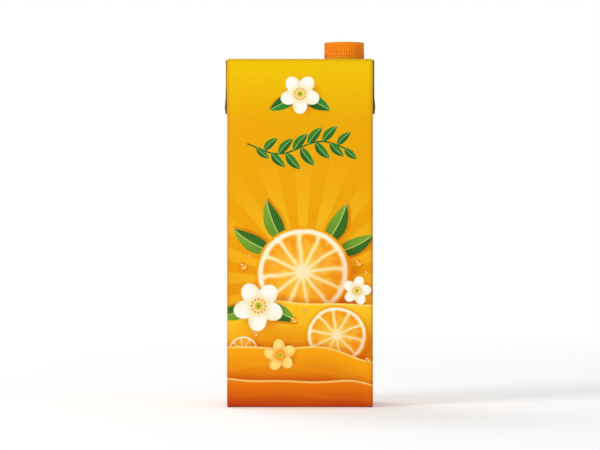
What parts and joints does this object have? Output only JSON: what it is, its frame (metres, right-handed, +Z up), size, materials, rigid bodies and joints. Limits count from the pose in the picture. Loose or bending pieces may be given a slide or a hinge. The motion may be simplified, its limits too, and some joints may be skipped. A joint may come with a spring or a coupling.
{
  "type": "juice carton",
  "caption": "Shut brick carton for juice, with ears folded down at the sides, a flat seal fin over the top and a ribbed screw cap off centre on the front half of the top.",
  "frame": {"origin": "under the middle of the pack, on the surface that it stands on", "axes": "+Z up, the front panel faces -Y, and +X is to the right as the front panel is seen"},
  "size_m": [0.0996, 0.0726, 0.2383],
  "materials": {
    "printed_board": "printed and laminated board, satin",
    "closure_plastic": "moulded, satin"
  },
  "bodies": {
    "root": {"carton": "printed_board", "spout_collar": "closure_plastic", "screw_cap": "closure_plastic"}
  },
  "joints": []
}
